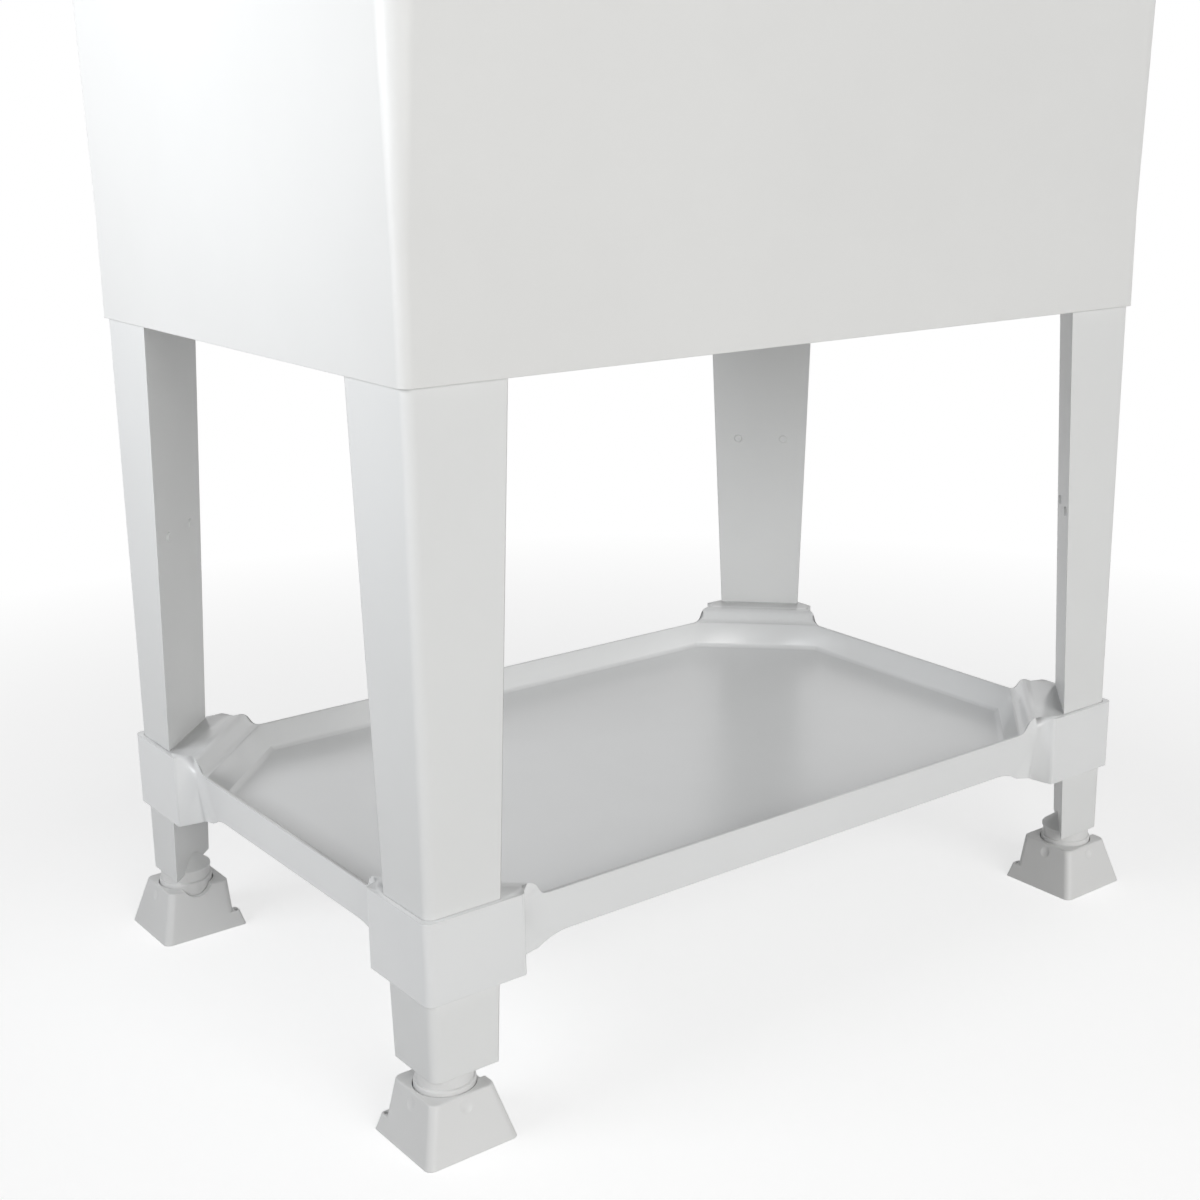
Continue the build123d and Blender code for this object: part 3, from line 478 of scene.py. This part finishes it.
def carve(shape, cutter):
    """Cut one closed shape out of another."""
    things = []
    for name, part in (("blank", shape), ("cutter", cutter)):
        mesh = bpy.data.meshes.new(name)
        bmesh.ops.recalc_face_normals(part, faces=part.faces)
        part.to_mesh(mesh)
        part.free()
        thing = bpy.data.objects.new(name, mesh)
        bpy.context.scene.collection.objects.link(thing)
        things.append(thing)
    blank, tool = things
    cut = blank.modifiers.new("cut", "BOOLEAN")
    cut.operation = "DIFFERENCE"
    cut.solver = "EXACT"
    cut.use_self = True
    cut.object = tool
    carved = bmesh.new()
    carved.from_object(blank, bpy.context.evaluated_depsgraph_get())
    for thing in things:
        mesh = thing.data
        bpy.data.objects.remove(thing)
        bpy.data.meshes.remove(mesh)
    return carved


def pan_screw(length, head_height, head_radius, shank_radius, pitch):
    """Pan-head screw along Z from its head's outer face at zero, with a cross recess and a thread."""
    head = turned_solid([(across * head_radius, along * head_height) for across, along in PAN_HEAD])
    cutter = bmesh.new()
    size = Matrix.Diagonal((
        RECESS_LENGTH * head_radius, RECESS_WIDTH * head_radius, RECESS_DEPTH * head_height, 1
    ))
    for turn in (0.0, math.pi / 2):
        bmesh.ops.create_cube(cutter, size=1.0, matrix=Matrix.Rotation(turn, 4, "Z") @ size)
    screw = carve(head, cutter)
    depth = 0.25 * shank_radius
    root = shank_radius - depth
    tip = 1.5 * shank_radius
    shank_end = length - tip
    join_shapes(screw, threaded_rod(shank_radius, depth, pitch, head_height, shank_end, SCREW_SIDES))
    inside = shank_end - pitch / 4
    outline = ((0.0, inside), (root, inside), (0.55 * root, length - 0.3 * tip), (0.0, length))
    join_shapes(screw, turned_solid(outline, SCREW_SIDES))
    return screw


def strainer_shape(low, high, flange_radius, metal):
    """Flanged strainer: a threaded barrel, a rolled flange and a grid with softened bars at its foot."""
    under = high - metal.flange_thickness
    bore, roll = metal.barrel_bore, metal.flange_thickness / 2
    barrel = threaded_rod(
        metal.barrel_radius, metal.barrel_depth, metal.barrel_pitch, low, under + roll / 4, BARREL_SIDES
    )
    reamer = bmesh.new()
    bmesh.ops.create_cone(
        reamer, cap_ends=True, segments=RING_SIDES, radius1=bore, radius2=bore, depth=2 * (high - low),
        matrix=Matrix.Translation((0, 0, (low + high) / 2)),
    )
    shape = carve(barrel, reamer)
    rolled = [
        (flange_radius - roll + roll * math.cos(turn), under + roll + roll * math.sin(turn))
        for turn in (math.radians(step) for step in range(-75, 91, 15))
    ]
    mouth = [(bore + roll, high), (bore + 0.3 * roll, high - 0.3 * roll), (bore, high - roll), (bore, under)]
    join_shapes(shape, turned_ring([(flange_radius - roll, under)] + rolled + mouth))
    reach = (metal.barrel_radius + bore) / 2 - metal.barrel_depth / 2
    count = int(bore // metal.grid_spacing)
    bar_width = metal.grid_bar
    for turn in (0.0, math.pi / 2):
        for step in range(-count, count + 1):
            offset = step * metal.grid_spacing
            chord = 2 * math.sqrt(reach**2 - offset**2)
            bar = bmesh.new()
            size = Matrix.Diagonal((bar_width, chord, bar_width, 1))
            bmesh.ops.create_cube(bar, size=1.0, matrix=size)
            long_edges = [edge for edge in bar.edges if edge.calc_length() > chord / 2]
            bmesh.ops.bevel(
                bar, geom=long_edges, offset=bar_width / 5, offset_type="OFFSET", segments=2,
                profile=0.5, affect="EDGES", material=-1,
            )
            place = Matrix.Translation((offset, 0, low + bar_width / 2))
            join_shapes(shape, bar, Matrix.Rotation(turn, 4, "Z") @ place)
    return shape


def shell_islands(node_name):
    """The separate solids of a node, each as the places of its corners."""
    shape = bmesh.new()
    shape.from_mesh(NODES[node_name].data)
    weld(shape)
    left = set(shape.verts)
    islands = []
    while left:
        front = [left.pop()]
        island = []
        while front:
            vertex = front.pop()
            island.append(vertex.co.copy())
            for edge in vertex.link_edges:
                other = edge.other_vert(vertex)
                if other in left:
                    left.discard(other)
                    front.append(other)
        islands.append(island)
    shape.free()
    return islands


def middle(values):
    return (min(values) + max(values)) / 2


def move_to_axis(shape, low, high):
    """Move a shape from the Z axis to the upright axis of a box."""
    axis = Matrix.Translation((middle((low[0], high[0])), middle((low[1], high[1])), 0))
    bmesh.ops.transform(shape, matrix=axis, verts=shape.verts)


def four_quarters(node_name):
    """The node's front left quarter, which has its corner block, mirrored to the other three."""
    shape = bmesh.new()
    shape.from_mesh(NODES[node_name].data)
    for outwards in ((1, 0, 0), (0, 1, 0)):
        cut_away(shape, (0, 0, 0), outwards)
    for flip in ((-1, 1, 1, 1), (1, -1, 1, 1)):
        join_shapes(shape, shape.copy(), Matrix.Diagonal(flip))
    bmesh.ops.remove_doubles(shape, verts=shape.verts, dist=2 * WELD)
    return shape


# Studio


def aim(thing, place, target):
    thing.location = place
    thing.rotation_mode = "QUATERNION"
    thing.rotation_quaternion = (Vector(target) - Vector(place)).to_track_quat("-Z", "Y")


def soft_lamp(name, place, target, size, power, colour, reach=180):
    light = bpy.data.lights.new(name, "AREA")
    light.shape = "RECTANGLE"
    light.size, light.size_y = size
    light.energy = power
    light.color = colour
    light.spread = math.radians(reach)
    lamp = bpy.data.objects.new(name, light)
    bpy.context.scene.collection.objects.link(lamp)
    aim(lamp, place, target)


def camera_sees(tree):
    """1 for what the camera sees, straight, in gloss or through glass, and 0 for light on things."""
    path = add_node(tree, "ShaderNodeLightPath")
    seen = calculate(tree, "MAXIMUM", path.outputs["Is Camera Ray"], path.outputs["Is Glossy Ray"])
    return calculate(tree, "MAXIMUM", seen, path.outputs["Is Transmission Ray"])


def white_room(ambient):
    world = bpy.data.worlds.new("white_room")
    world.use_nodes = True
    tree = world.node_tree
    tree.nodes.clear()
    strength = spread(tree, camera_sees(tree), 0.0, 1.0, ambient, 1.0)
    background = add_node(tree, "ShaderNodeBackground", {"Color": WHITE, "Strength": strength})
    add_node(tree, "ShaderNodeOutputWorld", {"Surface": background.outputs[0]})
    bpy.context.scene.world = world


def floor_material(colour):
    """Pale floor that keeps the shadow near the sink and runs out to plain white."""
    material = bpy.data.materials.new("pale_floor")
    material.use_nodes = True
    tree = material.node_tree
    tree.nodes.clear()
    place = object_place(tree)
    tint = noise(tree, place, FLOOR_TINT_SIZE, 4)
    plain = blend_colours(tree, tint, opaque(colour), opaque(colour, FLOOR_TINT))
    matte = add_node(tree, "ShaderNodeBsdfDiffuse", {"Color": plain}).outputs[0]
    shaded = add_node(tree, "ShaderNodeBsdfDiffuse", {"Color": opaque(colour, FLOOR_SHADE)}).outputs[0]
    lift = add_node(tree, "ShaderNodeEmission", {"Color": WHITE, "Strength": FLOOR_LIFT}).outputs[0]
    lifted = add_node(tree, "ShaderNodeAddShader", {0: shaded, 1: lift}).outputs[0]
    white = add_node(tree, "ShaderNodeEmission", {"Color": WHITE, "Strength": 1.0}).outputs[0]
    distance = add_node(tree, "ShaderNodeVectorMath", {0: place}, operation="LENGTH").outputs["Value"]
    fade = spread(tree, distance, *FLOOR_FADE, 0.0, 1.0)
    seen_floor = add_node(tree, "ShaderNodeMixShader", {0: fade, 1: lifted, 2: white}).outputs[0]
    choice = {0: camera_sees(tree), 1: matte, 2: seen_floor}
    surface = add_node(tree, "ShaderNodeMixShader", choice).outputs[0]
    add_node(tree, "ShaderNodeOutputMaterial", {"Surface": surface})
    return material


def add_floor(colour):
    mesh = bpy.data.meshes.new("studio_floor")
    shape = bmesh.new()
    bmesh.ops.create_grid(shape, x_segments=1, y_segments=1, size=FLOOR_HALF_SIZE)
    shape.to_mesh(mesh)
    shape.free()
    floor = bpy.data.objects.new("studio_floor", mesh)
    bpy.context.scene.collection.objects.link(floor)
    mesh.materials.append(floor_material(colour))


def add_camera(studio):
    data = bpy.data.cameras.new("camera")
    data.lens = studio.lens
    data.sensor_width = SENSOR_WIDTH
    data.shift_x = studio.shift_x
    data.shift_y = studio.shift_y
    data.clip_start = 0.01
    camera = bpy.data.objects.new("camera", data)
    bpy.context.scene.collection.objects.link(camera)
    turn = Matrix.Rotation(-studio.camera_turn, 4, "Z")
    tilt = Matrix.Rotation(math.pi / 2 - studio.camera_tilt, 4, "X")
    roll = Matrix.Rotation(studio.camera_roll, 4, "Z")
    camera.matrix_world = Matrix.Translation(studio.camera_place) @ turn @ tilt @ roll
    bpy.context.scene.camera = camera


# Operators


class SINK_OT_tub(bpy.types.Operator):
    """Finish the tub"""

    bl_idname = "sink.tub"
    bl_label = "Tub"

    def execute(self, context):
        skin = context.scene.sink_plastic
        dress("tub", moulded_plastic("tub_plastic", skin.tub_colour, TUB_ROUGHNESS, skin))
        return {"FINISHED"}


class SINK_OT_tray(bpy.types.Operator):
    """Finish the shelf tray"""

    bl_idname = "sink.tray"
    bl_label = "Shelf Tray"

    def execute(self, context):
        skin = context.scene.sink_plastic
        plastic = moulded_plastic("tray_plastic", skin.tray_colour_with_painted_light, TRAY_ROUGHNESS, skin, TRAY_COAT)
        shape = four_quarters("shelf_tray")
        tray = new_piece("moulded_tray", shape, plastic, "tray_plastic", "sink", "shelf_tray")
        weighted = tray.modifiers.new("flat faces", "WEIGHTED_NORMAL")
        weighted.keep_sharp = True
        return {"FINISHED"}


class SINK_OT_legs(bpy.types.Operator):
    """Finish the four legs and their bushes"""

    bl_idname = "sink.legs"
    bl_label = "Legs"

    def execute(self, context):
        skin = context.scene.sink_plastic
        leg = moulded_plastic("leg_plastic", skin.leg_colour, LEG_ROUGHNESS, skin)
        bush = moulded_plastic("fitting_plastic", skin.fitting_colour, BUSH_ROUGHNESS, skin)
        for corner in CORNERS:
            dress("leg_" + corner, leg)
            dress("leg_bush_" + corner, bush)
        return {"FINISHED"}


class SINK_OT_feet(bpy.types.Operator):
    """Finish the foot pads and collars"""

    bl_idname = "sink.feet"
    bl_label = "Feet"

    def execute(self, context):
        skin = context.scene.sink_plastic
        foot = moulded_plastic("foot_plastic", skin.foot_colour, FOOT_ROUGHNESS, skin)
        for corner in CORNERS:
            dress("foot_pad_" + corner, foot)
            dress("levelling_collar_" + corner, foot)
        return {"FINISHED"}


class SINK_OT_studs(bpy.types.Operator):
    """Finish the threaded levelling studs"""

    bl_idname = "sink.studs"
    bl_label = "Levelling Studs"

    def execute(self, context):
        metal = context.scene.sink_metal
        zinc = patchy_metal_painted_edges("stud_steel", metal.zinc_colour, ZINC_ROUGHNESS, STUD_GRAIN)
        depth = metal.stud_depth
        for corner in CORNERS:
            node_name = "levelling_stud_" + corner
            low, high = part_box(node_name)
            radius = (high[0] - low[0]) / 2
            shoulder = high[2] - 1.5 * depth
            shape = threaded_rod(radius, depth, metal.stud_pitch, low[2], shoulder)
            root, inside, top = radius - depth, shoulder - depth, high[2]
            tip = ((0.0, inside), (root, inside), (root, shoulder), (root - depth, top), (0.0, top))
            join_shapes(shape, turned_solid(tip))
            move_to_axis(shape, low, high)
            new_piece("threaded_stud_" + corner, shape, zinc, "stud_steel", "leveller_" + corner, node_name)
        return {"FINISHED"}


class SINK_OT_screws(bpy.types.Operator):
    """Finish the screws"""

    bl_idname = "sink.screws"
    bl_label = "Screws"

    def execute(self, context):
        metal = context.scene.sink_metal
        zinc = patchy_metal_painted_edges("screw_steel", metal.zinc_colour, ZINC_ROUGHNESS, SCREW_GRAIN)
        for node_name in ("leg_screws", "shelf_screws"):
            group = bmesh.new()
            screw = None
            for island in shell_islands(node_name):
                x = middle([place.x for place in island])
                y = middle([place.y for place in island])
                outwards = Vector((math.copysign(1, x), math.copysign(1, y), 0)).normalized()
                aside = outwards.cross(Vector((0, 0, 1)))
                along = [place.dot(outwards) for place in island]
                across = [place.dot(aside) for place in island]
                heights = [place.z for place in island]
                head_radius = (max(heights) - min(heights)) / 2
                head_place = outwards * min(along) + aside * middle(across) + Vector((0, 0, middle(heights)))
                if screw is None:
                    length = max(along) - min(along)
                    screw = pan_screw(
                        length, metal.screw_head_height, head_radius, metal.screw_radius, metal.screw_pitch
                    )
                turn = outwards.to_track_quat("Z", "Y").to_matrix().to_4x4()
                join_shapes(group, screw.copy(), Matrix.Translation(head_place) @ turn)
            screw.free()
            new_piece("cross_" + node_name, group, zinc, "screw_steel", "sink", node_name)
        return {"FINISHED"}


class SINK_OT_drain(bpy.types.Operator):
    """Finish the strainer, its nuts and seals, and the tailpiece"""

    bl_idname = "sink.drain"
    bl_label = "Drain"

    def execute(self, context):
        skin = context.scene.sink_plastic
        metal = context.scene.sink_metal
        plastic = moulded_plastic("drain_plastic", skin.drain_colour, DRAIN_ROUGHNESS, skin)
        rubber = seal_rubber("seal_rubber", metal.rubber_colour)
        steel = patchy_metal_painted_edges("drain_metal", metal.strainer_colour, STRAINER_ROUGHNESS, STRAINER_GRAIN)
        low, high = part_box("drain_body")
        strainer = strainer_shape(low[2], high[2], (high[0] - low[0]) / 2, metal)
        move_to_axis(strainer, low, high)
        new_piece("threaded_strainer", strainer, steel, "drain_metal", "sink", "drain_body")
        for node_name in ("drain_locknut", "drain_tailpiece", "slip_nut", "friction_ring"):
            dress(node_name, plastic)
        for node_name in ("drain_gasket", "tail_washer"):
            dress(node_name, rubber)
        return {"FINISHED"}


class SINK_OT_stopper(bpy.types.Operator):
    """Finish the rubber stopper"""

    bl_idname = "sink.stopper"
    bl_label = "Stopper"

    def execute(self, context):
        dress("drain_stopper", seal_rubber("stopper_rubber", context.scene.sink_metal.rubber_colour))
        return {"FINISHED"}


class SINK_OT_studio(bpy.types.Operator):
    """Set up the floor, the lamps and the camera"""

    bl_idname = "sink.studio"
    bl_label = "Studio"

    def execute(self, context):
        studio = context.scene.sink_studio
        add_floor(studio.floor_colour)
        white_room(studio.ambient)
        soft_lamp("left_softbox", **LEFT_LAMP)
        soft_lamp("front_softbox", **FRONT_LAMP)
        add_camera(studio)
        context.scene.view_settings.view_transform = "Standard"
        return {"FINISHED"}


class SINK_PT_panel(bpy.types.Panel):
    """Steps that make the laundry sink"""

    bl_idname = "SINK_PT_panel"
    bl_label = "Laundry Sink"
    bl_space_type = "VIEW_3D"
    bl_region_type = "UI"
    bl_category = "Laundry Sink"

    def draw(self, context):
        for step in STEPS:
            self.layout.operator(step.bl_idname)


STEPS = (
    SINK_OT_tub,
    SINK_OT_tray,
    SINK_OT_legs,
    SINK_OT_feet,
    SINK_OT_studs,
    SINK_OT_screws,
    SINK_OT_drain,
    SINK_OT_stopper,
    SINK_OT_studio,
)
SETTINGS = {
    "sink_plastic": SinkPlasticSettings,
    "sink_metal": SinkMetalSettings,
    "sink_studio": SinkStudioSettings,
}


def register():
    for group in (*SETTINGS.values(), *STEPS, SINK_PT_panel):
        bpy.utils.register_class(group)
    for name, group in SETTINGS.items():
        setattr(bpy.types.Scene, name, bpy.props.PointerProperty(type=group))


def unregister():
    for name in SETTINGS:
        delattr(bpy.types.Scene, name)
    for group in reversed((*SETTINGS.values(), *STEPS, SINK_PT_panel)):
        bpy.utils.unregister_class(group)


def main():
    register()
    for step in STEPS:
        group, name = step.bl_idname.split(".")
        getattr(getattr(bpy.ops, group), name)()


if __name__ == "__main__":
    main()
